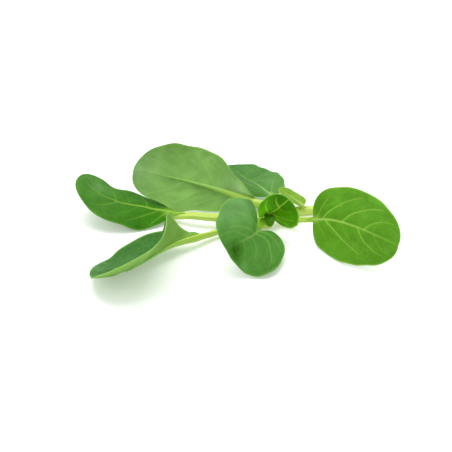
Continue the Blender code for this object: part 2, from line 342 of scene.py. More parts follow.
def relief(leaf, share, flat, edge):
    """How far the upper skin lies above the sheet and the lower one below it, in mm. Upper = half thickness + puff -
    grooves, and lower = half thickness - puff + ridges. The puff grows with the distance from the veins, has slow
    waves and single dents, and dies away at the edge. Returned for colour are the veins, rib and rim, and soft
    patches where the leaf is lighter or darker, which on several leaves are painted light and painted shade."""
    shows, nearest = [values.reshape(edge.shape) for values in vein_field(leaf, flat.reshape(-1, 2))]
    out, inside = np.abs(flat[..., 1]), np.clip(share, 0, 1)[:, None]
    rib = np.exp(-(out / (0.3 + leaf["rib"] * leaf["stalk_width"] / 2 * (1 - inside) ** 1.3)) ** 4)
    puff = (1 - np.exp(-(np.minimum(nearest, out) / PUFF_OVER) ** 2)) * smooth(edge / 4) * smooth(inside * 12)
    slow = np.random.default_rng(leaf["seed"] + 5)
    for size, height in SLOW_WAVES:
        turn = slow.uniform(0, 2 * pi, 2)
        bend = np.sin(flat[..., 1] * 2 * pi / (1.4 * size) + turn[1])
        wave = np.sin(flat[..., 0] * 2 * pi / size + turn[0] + bend)
        puff = puff + height * wave * smooth(inside * 10) * smooth(edge / 3)
    puff = leaf["puff"] * puff - spots(leaf, share, flat[..., 1], leaf["dents"])
    # lighter or darker patches: on several leaves painted light where light falls, and painted shade in folds and
    # dents
    tone = spots(leaf, share, flat[..., 1], leaf["tones"])
    half = (EDGE_THICKNESS + (THICKNESS - EDGE_THICKNESS) * smooth(edge / THINS_OVER)) / 2
    upper = half + puff - GROOVE * shows - RIB_GROOVE * rib * smooth(inside * 8) * (1 - inside)
    lower = half - puff + leaf["ridge"] * RIDGE * shows + RIB_RIDGE * rib * (1 - inside) ** 0.5
    fan = (1 - smooth(out / (leaf["stalk_width"] + 4 * inside))) * (1 - smooth(inside * 7)) * PALE_FAN
    rib = np.maximum(rib * (1 - inside) ** leaf["rib_fades"], fan)
    return upper, lower, shows * smooth(inside * 20), rib, np.exp(-(edge / leaf["rim_width"]) ** 2), tone


# %% Close the skins into a blade
BLADE_MAP, STALK_MAP, STEM_MAP = [10, 50], [20, 50], [20, 20]  # where each kind of flat map begins, in mm


def blade_piece(name, leaf):
    """A closed shell: the sheet moved along its normals by the relief on either side, and a rounded rim between the
    two, whose points lie half a thickness outside the edge."""
    share, across, sheet, flat, edge = sheet_points(leaf)
    normal = np.cross(np.gradient(sheet, axis=0), np.gradient(sheet, axis=1))
    normal /= np.maximum(np.linalg.norm(normal, axis=-1, keepdims=True), 1e-9)
    upper, lower, vein, rib, rim, tone = relief(leaf, share, flat, edge)
    upper, lower = sheet + normal * upper[..., None], sheet - normal * lower[..., None]

    index = np.arange(edge.size).reshape(edge.shape)
    quad = np.stack([index[:-1, :-1], index[1:, :-1], index[1:, 1:], index[:-1, 1:]], -1).reshape(-1, 4)
    loop = np.concatenate([index[:-1, 0], index[-1, :-1], index[:0:-1, -1], index[0, :0:-1]])
    edge_points = (upper.reshape(-1, 3)[loop] + lower.reshape(-1, 3)[loop]) / 2
    onward = np.roll(edge_points, -1, axis=0) - np.roll(edge_points, 1, axis=0)
    outward = np.cross(onward, normal.reshape(-1, 3)[loop])
    outward /= np.maximum(np.linalg.norm(outward, axis=1, keepdims=True), 1e-9)
    rim_points = edge_points + outward * EDGE_THICKNESS / 2
    rim_index = 2 * edge.size + np.arange(len(loop))
    following, rim_following = np.roll(loop, -1), np.roll(rim_index, -1)
    faces = np.vstack([
        quad, quad[:, ::-1] + edge.size,
        np.stack([loop, rim_index, rim_following, following], -1),
        np.stack([rim_index, loop + edge.size, following + edge.size, rim_following], -1)])
    points = np.vstack([upper.reshape(-1, 3), lower.reshape(-1, 3), rim_points])

    def both_skins(values):
        """One value a point: on the upper skin, on the lower one, and on the rim."""
        values = np.broadcast_to(values, edge.shape).ravel()
        return np.concatenate([values, values, values[loop]])

    side = np.concatenate([np.zeros(edge.size), np.ones(edge.size), np.full(len(loop), 0.5)])
    attributes = {"vein": both_skins(vein), "rib": both_skins(rib), "rim": both_skins(rim),
                  "tone": both_skins(tone), "along": both_skins(np.clip(share, 0, 1)[:, None]), "underside": side}
    flat = flat.reshape(-1, 2)
    print(name, "blade:", 2 * len(faces), "triangles,", len(leaf["left_veins"]) + len(leaf["right_veins"]), "side veins")
    return new_mesh(name + "_skin", points, faces, attributes, np.vstack([flat, flat, flat[loop]]) + BLADE_MAP)


# %% [markdown]
# ## Stalks
# A tatsoi stalk is a juicy half-round bar. Its back is rounded with fine lengthwise ribs, and its face has a
# shallow channel between two shoulders. It widens into the crown, and runs on under the blade as the midrib,
# thinner and thinner. That is one closed profile carried along the leaf's middle line in changing sizes.

# %% A tube from rings of points
def skin_of_rings(name, rings, path, around, values, flat_start, turned=False):
    """A closed tube: two triangles for each step along and round, and a fan from each end ring to its middle point.
    Its flat map is the distance along the path and the one round the ring. Rings that run the other way round have
    their triangles turned."""
    sides = rings.shape[1]
    index = np.arange(len(rings) * sides).reshape(len(rings), sides)
    beside = np.roll(index, -1, axis=1)
    quads = np.stack([index[:-1], index[1:], beside[1:], beside[:-1]], -1).reshape(-1, 4)
    fans = [np.stack([ring, following, np.full(sides, middle)], -1) for ring, following, middle in (
        (index[0], beside[0], index.size), (beside[-1], index[-1], index.size + 1))]
    triangles = np.vstack([quads[:, [0, 1, 2]], quads[:, [0, 2, 3]], *fans])
    points = np.vstack([rings.reshape(-1, 3), rings[0].mean(axis=0), rings[-1].mean(axis=0)])
    flat = np.stack(np.broadcast_arrays(path[:, None], around), -1).reshape(-1, 2)
    flat = np.vstack([flat, [[path[0], 0], [path[-1], 0]]]) + flat_start
    return new_mesh(name, points, triangles[:, ::-1] if turned else triangles, values, flat)


# %% A stalk and its rib
RING_STEP = 0.7  # mm between rings
STALK_SIDES = 40
FLARE, FLARE_OVER = 0.22, 7  # a stalk widens towards its root by this share, over so many mm
RIB_TAPER, RIB_END = 1.3, 0.16  # the rib thins by this power, to this share of the stalk's width
HEEL = 5  # rings in the heel that joins a stalk to the stem,
HEEL_SIZE = 0.75  # and the size of its first ring
HEEL_PATH = 4  # mm of flat map that the heel takes


def stalk_piece(name, leaf, joins_at):
    """Rings along the middle line. Across = size * cos, and height = size * (half sin on the face, less the channel;
    1.1 sin on the back), with small ribs. Under a folded blade the rings tilt to face into the fold, half the
    difference between its two sides. A short heel curves from the root into the stem at joins_at."""
    stalk, end = leaf["stalk"], leaf["stalk"] + leaf["rib_ends"] * leaf["blade"]
    distance = np.concatenate([np.linspace(0, stalk, max(int(stalk / RING_STEP), 4)),
                               np.linspace(stalk, end, int((end - stalk) / RING_STEP))[1:]])
    middle, left, up = middle_line(leaf, distance)
    onto = np.clip((distance - stalk) / (end - stalk), 0, 1)
    size = np.interp(distance, [0, stalk], leaf["stalk_ends"]) * (1 - onto) ** RIB_TAPER + RIB_END * onto
    size = size * leaf["stalk_width"] / 2 * (1 + FLARE * (1 - smooth(distance / FLARE_OVER)))

    # a free stalk's face stands over the middle line, and a rib's lies just under the blade, lower in a fold
    share = np.clip((distance - stalk) / leaf["blade"], 0, 1)
    folds = np.array([fold_at(leaf, side, share) for side in ("left", "right")])
    raised, droop = np.clip(folds.sum(axis=0) / 2, 0, 0.9), np.clip(-folds.min(axis=0), 0, 0.7)
    under = THICKNESS / 2 / np.cos(raised) + 0.55 * size * np.tan(droop) - 0.05
    sunk = smooth((distance - stalk + leaf["sink"]) / leaf["sink"])
    top = (1 - sunk) * size * 0.6 - sunk * under
    tilt = ((folds[0] - folds[1]) / 2 * sunk)[:, None]
    left, up = np.cos(tilt) * left + np.sin(tilt) * up, np.cos(tilt) * up - np.sin(tilt) * left

    turn = np.linspace(0, 2 * pi, STALK_SIDES, endpoint=False)
    face, back = np.maximum(np.sin(turn), 0), np.minimum(np.sin(turn), 0)
    channel = 0.20 * np.exp(-(np.cos(turn) / 0.5) ** 2) * (face > 0)
    ribs = 0.03 * np.cos(9 * turn) * (back < 0) + 0.018 * np.cos(14 * np.cos(turn) * pi / 2) * (face > 0)
    height = 0.5 * face ** 0.8 + 1.1 * back - 0.5 - channel * (1 - sunk[:, None])
    bulge = 1 + ribs * np.minimum(1, size[:, None])
    ring_across = size[:, None] * np.cos(turn) * bulge
    ring_up = top[:, None] + size[:, None] * height * bulge
    rings = middle[:, None] + ring_across[..., None] * left[:, None] + ring_up[..., None] * up[:, None]

    lean = smooth(np.linspace(0, 1, HEEL + 1)[:-1])[:, None, None]
    root = rings[0].mean(axis=0)
    heel = np.array(joins_at) * (1 - lean) + root * lean + (rings[0] - root) * (HEEL_SIZE + (1 - HEEL_SIZE) * lean)
    rings = np.concatenate([heel, rings])
    path = np.concatenate([np.linspace(-HEEL_PATH, 0, HEEL + 1)[:-1], distance])
    around = size.max() * np.where(face > 0, np.cos(turn), 2 * np.sign(np.cos(turn)) - np.cos(turn))
    onto = np.clip((np.concatenate([np.repeat(path, STALK_SIDES), path[[0, -1]]]) - stalk) / (end - stalk), 0, 1)
    values = {"onto_blade": onto, "face": np.concatenate([np.tile(face, len(rings)), [0, 0]])}
    return skin_of_rings(name + "_rib", rings, path, around, values, STALK_MAP)


# %% [markdown]
# ## Colour by numbers
# Colours are picked as they look on a screen, in sRGB hex, but a shader works with linear light. One function
# turns the one into the other, and another adds a node with its settings and links.

# %% Colour and node helpers
MIX, SMOOTH = {"data_type": "RGBA"}, {"interpolation_type": "SMOOTHSTEP"}
TIMES, TIMES_PLUS = {"operation": "MULTIPLY"}, {"operation": "MULTIPLY_ADD"}


def linear(code):
    """Linear red, green and blue from a hex colour: ((c + 0.055) / 1.055)^2.4, or c / 12.92 for the darkest."""
    c = np.array([int(code[i:i + 2], 16) for i in (1, 3, 5)]) / 255
    return (*np.where(c > 0.04045, ((c + 0.055) / 1.055) ** 2.4, c / 12.92).tolist(), 1)


def node(tree, kind, settings=None, output=0, **inputs):
    """Adds a shader node, sets its own settings, gives each input a value or a link, and returns one output."""
    made = tree.nodes.new("ShaderNode" + kind)
    for key, value in (settings or {}).items():
        setattr(made, key, value)
    for key, value in inputs.items():
        socket = made.inputs[int(key[1:])] if key[0] == "_" else made.inputs[key.replace("_", " ")]
        if isinstance(value, bpy.types.NodeSocket):
            tree.links.new(value, socket)
        else:
            socket.default_value = value
    return made.outputs[output] if made.outputs else None


def new_skin(name):
    """A material with an empty node tree."""
    skin = bpy.data.materials.new(name)
    skin.use_nodes = True
    skin.node_tree.nodes.clear()
    return skin, skin.node_tree


# %% [markdown]
# ## Leaf skin
# Leaf skin has a thin coat of natural wax, which gives broad, soft highlights. The upper side is darker and
# glossier, and the underside is paler and matt. Light also passes through a blade half a millimetre thick, and
# comes out yellow-green, so a Translucent shader is mixed in. Veins and the rim are paler. A net of tiny veins is
# drawn by a Voronoi pattern on the flat leaf, and fine noise gives the surface its grain.

# %% The leaf skin material
def leaf_skin(name, upper, towards_tip, underside, vein, rim, through_light, under_vein=None, rib_end=None,
              net=0.16, gloss=0.4, shine=0.12, veins=0.3, rims=0.6, painted_sheen_grey=0.5):
    """Colour = upper side or underside, times the patches and the tone with its painted light and shade, greyed as a
    painted sheen where that tone is lighter, then blended with the veins' colour by the net, the veins and the rib,
    and with the rim's at the edge. Surface = waxy skin, with a share of light let through. Returned with it is the
    colour that the rib takes below the blade."""
    skin, tree = new_skin("leaf_skin_" + name)
    read = {key: node(tree, "Attribute", {"attribute_name": key}, 2)
            for key in ("vein", "rib", "rim", "along", "underside", "tone")}
    flat = node(tree, "UVMap", {"uv_map": "flat"})
    place = node(tree, "TexCoord", output="Object")

    # one unit of the flat map is 100 mm, so 40 cells a unit are 2.5 mm meshes
    to_line = node(tree, "TexVoronoi", {"feature": "DISTANCE_TO_EDGE"}, Vector=flat, Scale=40.0)
    fine_net = node(tree, "MapRange", SMOOTH, Value=to_line, From_Min=0.0, From_Max=0.09, To_Min=1.0, To_Max=0.0)
    # soft patches about 8 mm across, and 0.5 mm grain. Where the tone patches are lighter, mostly painted light, they
    # are also greyed as a painted sheen
    patches = node(tree, "TexNoise", Vector=place, Scale=125.0, Detail=3.0)
    grain = node(tree, "TexNoise", Vector=place, Scale=2000.0, Detail=2.0)
    patchy = node(tree, "MapRange", Value=patches, From_Min=0.3, From_Max=0.7, To_Min=0.86, To_Max=1.12)
    bright = node(tree, "Math", TIMES_PLUS, _0=read["tone"], _1=patchy, _2=patchy)
    greyer = node(tree, "Math", TIMES_PLUS, _0=read["tone"], _1=-painted_sheen_grey, _2=1.0)

    colour = node(tree, "Mix", MIX, 2, _0=read["along"], _6=linear(upper), _7=linear(towards_tip))
    colour = node(tree, "Mix", MIX, 2, _0=read["underside"], _6=colour, _7=linear(underside))
    colour = node(tree, "HueSaturation", Color=colour, Value=bright, Saturation=greyer)
    veined = node(tree, "Mix", MIX, 2, _0=read["underside"], _6=linear(vein), _7=linear(under_vein or vein))
    for drawn, strength, paint in ((fine_net, net, veined), (read["vein"], veins, veined),
                                   (read["rib"], 1.0, veined), (read["rim"], rims, linear(rim))):
        share = node(tree, "Math", TIMES, _0=drawn, _1=strength)
        colour = node(tree, "Mix", MIX, 2, _0=share, _6=colour, _7=paint)

    height = node(tree, "Math", TIMES_PLUS, _0=fine_net, _1=-0.6, _2=grain)
    bump = node(tree, "Bump", Strength=0.25, Distance=0.0002, Height=height)
    rough = node(tree, "MapRange", Value=read["underside"], To_Min=gloss, To_Max=0.62)
    wax = node(tree, "BsdfPrincipled", Base_Color=colour, Roughness=rough, Normal=bump, IOR=1.45,
               Specular_IOR_Level=shine, Specular_Tint=(0.7, 1, 0.45, 1))
    lit = node(tree, "Mix", MIX, 2, _0=0.55, _6=colour, _7=linear(through_light))
    glow = node(tree, "BsdfTranslucent", Color=lit, Normal=bump)
    mixed = node(tree, "MixShader", _0=0.28, _1=wax, _2=glow)
    node(tree, "OutputMaterial", Surface=mixed)
    return skin, rib_end or underside


# %% [markdown]
# ## Stalk skin
# Light spreads inside a watery stalk, so it looks lit from within. Subsurface scattering of about a millimetre
# gives that. Its skin has fine lengthwise streaks, drawn by stretched noise. Under the blade the rib turns from the
# stalk's pale green into the colour of the leaf.

# %% The stalk material
def stalk_skin(name, face, back, streak, rib_end=None):
    """Colour = the back's turning into the face's, half covered by streaks, and by the leaf's under the blade."""
    skin, tree = new_skin(name)
    flat = node(tree, "UVMap", {"uv_map": "flat"})
    facing = node(tree, "Attribute", {"attribute_name": "face"}, 2)
    # streaks 0.4 mm wide and about 12 mm long
    stretched = node(tree, "Mapping", Vector=flat, Scale=(8.0, 250.0, 1.0))
    streaks = node(tree, "TexNoise", Vector=stretched, Scale=1.0, Detail=3.0)
    spread = node(tree, "MapRange", Value=streaks, From_Min=0.35, From_Max=0.7)
    share = node(tree, "Math", TIMES, _0=spread, _1=0.5)
    colour = node(tree, "Mix", MIX, 2, _0=facing, _6=linear(back), _7=linear(face))
    colour = node(tree, "Mix", MIX, 2, _0=share, _6=colour, _7=linear(streak))
    if rib_end:
        onto = node(tree, "Attribute", {"attribute_name": "onto_blade"}, 2)
        turning = node(tree, "MapRange", SMOOTH, Value=onto, From_Min=-0.15, From_Max=0.65)
        colour = node(tree, "Mix", MIX, 2, _0=turning, _6=colour, _7=linear(rib_end))
    bump = node(tree, "Bump", Strength=0.3, Distance=0.0002, Height=streaks)
    juicy = node(tree, "BsdfPrincipled", Base_Color=colour, Roughness=0.36, IOR=1.42, Normal=bump,
                 Specular_IOR_Level=0.4, Subsurface_Weight=0.35, Subsurface_Radius=(1.0, 1.2, 0.35),
                 Subsurface_Scale=0.0012)
    node(tree, "OutputMaterial", Surface=juicy)
    return skin


# %% Grow one leaf
PALE_STALK = "#bed654", "#a4c640", "#d2e07c"  # face, back and streaks
GREEN_STALK = "#86bc1c", "#5f9a08", "#9cc838"


def grow(name, slot, joins_at, skin, stalk_colours=PALE_STALK, **leaf):
    """Makes a leaf's blade and stalk from its table, and puts them in place of its solids. A table gives width, fold,
    curl and veins as a pair: left half, right half."""
    plain = {"base_round": 0.5, "tip_round": 0.5, "ragged": 0.012, "puff": 0.35, "rib": 0.42, "rib_fades": 0.6,
             "rib_ends": 0.72, "ridge": 1, "rim_width": 0.45, "wave": (0, 1, 0), "loops": 0.15, "vein_width": 1,
             "left_lobe": 0, "right_lobe": 0, "wing": (6, 0.8), "stalk_ends": (1, 0.9), "sink": 9, "dents": [],
             "tones": [], "left_bumps": [], "right_bumps": [], "left_margin": (0, 0.7, 0, 1),
             "right_margin": (0, 0.7, 0, 1)}
    leaf = {**plain, "seed": len(name) * 7, **leaf}
    for key in ("width", "fold", "curl", "veins"):
        leaf["left_" + key], leaf["right_" + key] = leaf[key]
    blade = blade_piece(name, leaf)
    blade.data.materials.append(skin[0])
    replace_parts(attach(blade, "root"), name + "_blade")
    stalk = stalk_piece(name, leaf, joins_at)
    stalk.data.materials.append(stalk_skin("stalk_skin_" + name, *stalk_colours, skin[1]))
    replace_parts(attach(stalk, "root"), name + "_stalk")


# %% [markdown]
# ## The leaf at the far left
# It lies with its dark upper side up, and its tip lifts off the table. Its edges curl down, so light catches it
# along the middle. Near the stalk its green is deep, and towards the tip its colour holds a bluish painted sheen.

# %% Far left leaf
# the second colour, lighter and bluish towards the tip, is a painted sheen, and so is the lighter tone patch near the
# tip
grow("far_left", "leaf_dark", (-15.5, -14.5, 7.0),
     leaf_skin("deep_green", "#367a0c", "#528a38", "#6da648", "#9ac84c", "#84b850", "#86bf1c",
               net=0.08, shine=0.03, gloss=0.55, veins=0.6),
     root=(-19.6, -12.9, 6.4), stalk=49.5, blade=54.5, stalk_width=5.8, stalk_ends=(1, 0.74), sink=14,
     heading=(189, 161, 171, 145), pitch=(0, 0, 11, 48), roll=(-2, -2, 0, 6),
     width=(19, 18), fold=((-14, 4, 12), (-8, 3, 4)), curl=(-18, -24),
     tip_round=0.48, right_tip_round=0.46, wave=(0.6, 2.5, 40), rib=0.26, rib_fades=0.7,
     loops=0.08, wing=(8, 1.0), tones=[(0.8, -5.5, 7, 0.3)], stalk_colours=("#b8ce58", "#a4c244", "#ccdc78"),
     veins=([(0.03, 0.16, 0.9, 1), (0.12, 0.42, 0.78, 0.9), (0.33, 0.58, 0.8, 0.25), (0.55, 0.76, 0.78, 0.7),
             (0.76, 0.92, 0.6, 0.2)],
            [(0.05, 0.2, 0.8, 0.3), (0.25, 0.36, 0.75, 0.8), (0.42, 0.56, 0.8, 0.25), (0.57, 0.7, 0.7, 0.5),
             (0.75, 0.9, 0.6, 0.2)]))

# %% [markdown]
# ## The folded leaf at the front left
# This leaf is folded along its midrib like a boat. Its far half shows the dark upper side, whose bluish cast is a
# painted sheen. Its near half is folded up, and stands past upright at the base, so we see its pale underside as a
# band with a bright edge, partly a painted highlight.

# %% Front left leaf
# bluish upper colours: painted sheen; wide pale rim: the paler margin, partly a painted highlight; the two lighter
# tone patches: painted highlights; the other: a darker spot
grow("front_left", "leaf_dark", (-15.0, -14.2, 6.8),
     leaf_skin("green_bluish_painted_sheen", "#35702c", "#3e7a34", "#8cbe58", "#9cc860", "#acd874", "#8cc62c",
               rims=0.8),
     root=(-15.1, -18.2, 4.7), stalk=45.8, blade=67.8, stalk_width=4.5, stalk_ends=(0.8, 0.95), sink=24,
     heading=(175, 221, 232, 198), pitch=(-7.5, 8.3, -2.3, 6), roll=(10, 10, 14, 12),
     width=(27.9, 24.5), fold=((118, 42, 20), (28, -1, -1)), curl=(7, 0), rim_width=0.9,
     tones=[(0.84, -3, 5, -0.4), (0.55, -4, 9, 0.15), (0.9, -14, 6, 0.25)],
     base_round=0.84, rib_fades=1.6, loops=0.06,
     left_bumps=[(0.09, -2.4, 5)], left_margin=(23, 0.85, 0.6, 0.85), wing=(9, 1.0),
     veins=([(0.05, 0.25, 0.7, 0.5), (0.2, 0.45, 0.75, 0.4), (0.38, 0.62, 0.78, 0.4), (0.55, 0.78, 0.78, 0.4),
             (0.72, 0.9, 0.7, 0.3)],
            [(0.08, 0.3, 0.7, 0.4), (0.24, 0.48, 0.75, 0.4), (0.42, 0.65, 0.78, 0.4), (0.6, 0.82, 0.75, 0.4),
             (0.76, 0.92, 0.65, 0.3)]))

# %% [markdown]
# ## The large leaf at the back
# It stands on its edge and shows its underside, which is pale and matt with soft raised veins. Its midrib is a
# thin yellow-green ridge that fades before the tip.

# %% Back left leaf
# the lighter tone patches near the base and near the tip are painted light
grow("back_left", "leaf_pale", (-12.4, -11.4, 6.6),
     leaf_skin("pale_underside", "#4a8a30", "#4f9038", "#84b45a", "#b4d46a", "#a8d468", "#9ccf3c",
               under_vein="#9cc766", rib_end="#80b04a", net=0.08),
     root=(-13.6, -8.1, 9.8), stalk=10, blade=69, stalk_width=5.2, width=(19.5, 15.5),
     heading=(157, 157, 166, 187), pitch=(9, 6, 9, 17), roll=(70, 83, 117, 106),
     fold=((-16, 19, -3), (-6, -8, 8)), curl=(-25, -22),
     base_round=0.69, right_tip_round=0.36, wave=(0.6, 2.5, 0), ridge=1.7, puff=0.36, rib=0.3,
     ragged=0.018, loops=0.1, rim_width=0.6, left_bumps=[(0.21, -1.2, 5)],
     right_bumps=[(0.8, -0.7, 6), (0.59, 2.3, 5.5)],
     tones=[(0.13, 3, 9, 0.6), (0.97, 2, 12, 0.4), (0.5, 3, 30, 0.08)],
     veins=([(0.05, 0.24, 0.75, 0.8), (0.2, 0.42, 0.8, 0.9), (0.36, 0.58, 0.8, 0.9), (0.52, 0.74, 0.8, 0.8),
             (0.7, 0.88, 0.7, 0.6)],
            [(0.06, 0.28, 0.75, 0.7), (0.24, 0.46, 0.8, 0.9), (0.42, 0.64, 0.8, 0.9), (0.6, 0.8, 0.75, 0.7)]))

# %% [markdown]
# ## The leaf at the back
# A half-grown leaf, nearly flat, with a pale midrib. The bluish cast of its upper side is a painted sheen, and its
# tone patches are painted shade on one half and painted light on the other.

# %% Back leaf
# bluish upper colours: painted sheen; darker tone patches on the left half: painted shade; lighter one on the right
# half: painted light
grow("back", "leaf_bright", (-8.6, -6.9, 5.2),
     leaf_skin("green_painted_sheen", "#5c9440", "#4c8440", "#79ae56", "#a2cf74", "#8cbc64", "#94cc3c", veins=0.5),
     root=(-9.0, -3.7, 8.2), stalk=10.5, blade=40, stalk_width=3.0, width=(19.5, 18),
     heading=(112, 124, 127, 132), pitch=(0, 4, -2, 11), roll=(-2, 7, 12, 6),
     fold=((2, 13, 3), (4, 9, 1)), curl=(2, 1),
     left_base_round=0.42, wave=(0.5, 2.5, 90), ragged=0.02, rib_fades=0.9, loops=0.08,
     tones=[(0.09, 9, 6, -0.25), (0.6, 9, 9, -0.15), (0.3, -11, 8, 0.12)], left_bumps=[(0.05, 2.1, 4.5)],
     right_bumps=[(0.83, 0.9, 2.2), (0.745, -0.9, 2.0), (0.52, 0.9, 3.5)],
     veins=([(0.06, 0.26, 0.75, 0.3), (0.24, 0.5, 0.8, 0.25), (0.46, 0.7, 0.8, 0.25), (0.66, 0.86, 0.7, 0.2)],
            [(0.03, 0.34, 0.6, 0.9), (0.2, 0.48, 0.8, 0.3), (0.44, 0.68, 0.8, 0.25), (0.64, 0.86, 0.7, 0.2)]))

# %% [markdown]
# ## The small leaf behind the stem
# A young leaf, still light yellow-green.

# %% Small back leaf
grow("small_back", "leaf_pale", (0.0, -0.6, 3.2),
     leaf_skin("young", "#7cac26", "#7cac2c", "#93bc58", "#c8e080", "#b0d070", "#bce04c", veins=0.5),
     root=(2.9, -2.2, 6.2), stalk=1, blade=16, stalk_width=1.8, width=(6.4, 6),
     heading=(153, 148, 154, 150), pitch=(30, 26, 25, 23), roll=(0, 3, 10, 0),
     fold=((10, 10, 10), (17, 9, 19)), curl=(0, -2),
     right_base_round=0.4, tip_round=0.62, puff=0.2, tones=[(0.5, -4, 3, 0.12)],
     veins=([(0.1, 0.4, 0.75, 0.5), (0.4, 0.72, 0.75, 0.5)],
            [(0.12, 0.42, 0.75, 0.5), (0.42, 0.74, 0.75, 0.5)]))

# %% [markdown]
# ## The leaf at the front
# It hangs forwards over the stalks, and its round blade with two lobes faces us. Strong arching veins run out
# from its base, and near its tip is a shallow dent, darkened with painted shade. Its right half is lightened with
# painted light and greyed as a painted sheen, and a painted highlight sits beside the dent.

# %% Front leaf
# tone patches: the two dark ones in the dent are painted shade, the light one beside it is a painted highlight, and
# the three light ones on the right half are painted light, greyed as a painted sheen
grow("front", "leaf_bright", (-16.4, -15.4, 7.4),
     leaf_skin("broad_green", "#569438", "#4c8832", "#7eb254", "#92c462", "#94c462", "#8cc838",
               shine=0.3, veins=0.85, painted_sheen_grey=0.3),
     root=(-19.1, -17.7, 9.7), stalk=22.3, blade=30.2, stalk_width=4.0, width=(20.6, 22),
     heading=(261, 257, 235, 225), pitch=(10, 9.5, 8.7, -14), roll=(-19, -45, -44, -54),
     fold=((23, 1, -21), (25, 0, -14)), curl=(6, 6),
     base_round=0.45, left_base_round=0.52, wave=(0.5, 2, 60), left_lobe=8, right_lobe=7.5,
     rib=0.28, rib_fades=1.4, rib_ends=0.55, rim_width=0.6, ragged=0.018, loops=0.12,
     dents=[(0.82, 3.0, 3.6, 2.4)], left_bumps=[(0.85, 0.4, 3), (0.27, 0.8, 6)], right_bumps=[(0.72, -1.5, 7)],
     tones=[(0.8, 2.5, 3.6, -0.42), (0.86, 6.5, 3.2, -0.25), (0.83, 11.5, 3.2, 0.35), (0.36, -18, 9, 0.55),
            (0.7, -15, 8, 0.35), (0.2, -10, 6, 0.25)],
     stalk_colours=GREEN_STALK,
     veins=([(0.02, 0.24, 0.85, 0.8), (0.16, 0.42, 0.8, 1), (0.38, 0.62, 0.65, 0.5), (0.6, 0.82, 0.6, 0.3)],
            [(0.02, 0.5, 0.75, 0.9), (0.22, 0.7, 0.5, 0.8), (0.46, 0.82, 0.5, 0.5)]))

# %% [markdown]
# ## The young leaf in the centre
# A small, thick leaf of saturated dark green that stands over the crown, half rolled, with pale forked veins.

# %% Centre leaf
grow("centre", "leaf_dark", (-16.6, -15.6, 8.6),
     leaf_skin("saturated_green", "#5fa600", "#3f8a08", "#5a9a34", "#c4f058", "#a8e05c", "#84c80c",
               net=0.08, shine=0.05, veins=1.3, rims=0.95, painted_sheen_grey=0),
     root=(-17.1, -19.2, 11.5), stalk=1, blade=16.4, stalk_width=1.6, width=(13.6, 13.4),
     heading=(-62, -52, -29, 5), pitch=(36, 36, 48, 43), roll=(106, 102, 88, 70),
     fold=((70, 42, 13), (-4, -4, -6)), curl=(31, -10),
     base_round=0.47, tip_round=0.49, puff=0.3, rib=0.22, rib_fades=0.15, rim_width=0.7, loops=0.05,
     vein_width=0.72, stalk_colours=GREEN_STALK,
     tones=[(0.3, 9.5, 6, 0.75), (0.6, -8, 6, 0.15), (0.74, 5, 3, -0.28), (0.66, -2.5, 2.5, -0.22)],
     veins=([(0.03, 0.66, 0.8, 1.3), (0.56, 0.8, 0.55, 0.9)],
            [(0.03, 0.34, 0.8, 0.4), (0.12, 0.58, 0.75, 0.4), (0.5, 0.8, 0.6, 0.2)]))

# %% [markdown]
# ## The leaf at the right
# The brightest blade, turned to face us. Light yellow-green veins fan out over it and join in loops.

# %% Right leaf
grow("right", "leaf_bright", (-10.6, -9.8, 6.0),
     leaf_skin("bright_green", "#609e20", "#5c9a26", "#83b84c", "#b4dc60", "#a0cc5c", "#98d030", net=0.1,
               veins=0.95, rims=0.9, painted_sheen_grey=0.1),
     root=(-7.7, -12.9, 4.2), stalk=18.5, blade=61.5, stalk_width=3.2, width=(18.5, 19.5),
     heading=(-21, -46, -48, -48), pitch=(12, 24, 7, 0), roll=(49, 55, 61, 65),
     fold=((18, 2, -11), (-1, -1, -13)), curl=(9, -7),
     base_round=0.39, tip_round=0.47, wave=(0.4, 2.5, 20), rib=0.28, loops=0.16, vein_width=0.72,
     tones=[(0.25, 15, 9, 0.25), (0.6, 14, 9, 0.15), (0.8, -12, 8, -0.1)],
     veins=([(0.03, 0.2, 0.74, 0.8), (0.12, 0.52, 0.8, 1), (0.37, 0.74, 0.8, 0.9), (0.62, 0.88, 0.7, 0.6)],
            [(0.04, 0.24, 0.7, 0.3), (0.16, 0.64, 0.68, 1), (0.36, 0.72, 0.72, 0.25), (0.55, 0.86, 0.66, 0.8),
             (0.74, 0.92, 0.6, 0.25)]))

# %% [markdown]
# ## The bud leaf
# The youngest leaf is a dark little scoop in front of the crown.

# %% Bud leaf
grow("bud", "leaf_dark", (-16.4, -16.6, 7.6),
     leaf_skin("bud", "#4a9404", "#68a60c", "#3c6c14", "#4c8410", "#6ca428", "#4c9008", shine=0.04),
     root=(-16.7, -18.8, 8.6), stalk=1.5, blade=9.6, stalk_width=1.4, width=(3.4, 3.0),
     heading=(262, 262, 275, 300), pitch=(62, 62, -25, -48), roll=(-12, -12, -12, -12),
     fold=((25, 15, -20), (35, 25, 10)), curl=(-10, 10),
     base_round=0.7, tip_round=0.34, puff=0.1, rib_fades=3, tones=[(0.4, -2, 2, -0.4), (0.6, 1.5, 2, 0.25)],
     stalk_colours=GREEN_STALK,
     veins=([(0.2, 0.6, 0.7, 0.4)], [(0.2, 0.6, 0.7, 0.4)]))

# %% [markdown]
# ## The stem
# The leaves spring from a short stem, pale and ribbed, which thickens towards the crown, where the stalks join.
# It is a ring carried along a path and closed by smaller and smaller rings: a dome at the growing tip, and at the
# cut a slightly hollow disc, with a firm ring round a softer middle.

